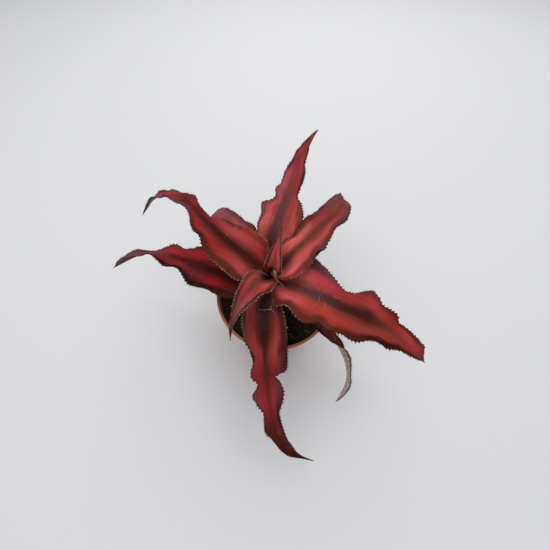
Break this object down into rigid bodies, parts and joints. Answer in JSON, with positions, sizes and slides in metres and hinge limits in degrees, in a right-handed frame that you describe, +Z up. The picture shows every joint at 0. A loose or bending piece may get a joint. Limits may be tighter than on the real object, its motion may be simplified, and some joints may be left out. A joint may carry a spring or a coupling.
{
  "type": "potted earth star bromeliad",
  "caption": "Flat rosette of long waved spiny leaves, red with dark stripes, growing from soil in a round tapered nursery pot.",
  "frame": {"origin": "centre of the pot's base, on the surface that the pot stands on", "axes": "+Z up along the pot's axis; +Y along the longest spread, towards the tip of leaf_north; +X towards the tip of leaf_southeast's side"},
  "size_m": [0.2357, 0.2441, 0.127],
  "materials": {
    "pot_plastic": "moulded terracotta-coloured plastic, slightly dull",
    "potting_mix": "loose, dark, crumbly",
    "crown_stem": "pale green, smooth",
    "leaf_upper": "satin, red with a dark middle stripe and dark margins",
    "leaf_lower": "satin, dark crimson",
    "leaf_young": "satin, greyish red with pale toothed edges",
    "leaf_heart": "pale olive to tan"
  },
  "bodies": {
    "root": {"pot": "pot_plastic", "soil": "potting_mix", "crown": "crown_stem", "leaf_north": "leaf_upper", "leaf_northeast": "leaf_upper", "leaf_northwest": "leaf_upper", "leaf_southeast": "leaf_upper", "leaf_south": "leaf_upper", "leaf_west": "leaf_lower", "leaf_behind_northeast": "leaf_lower", "leaf_behind_northwest": "leaf_lower", "leaf_under_southeast": "leaf_lower", "leaf_under_south": "leaf_lower", "leaf_inner_southwest": "leaf_young", "leaf_inner_north": "leaf_young", "heart_leaf_south": "leaf_heart", "heart_leaf_west": "leaf_heart"}
  },
  "joints": []
}
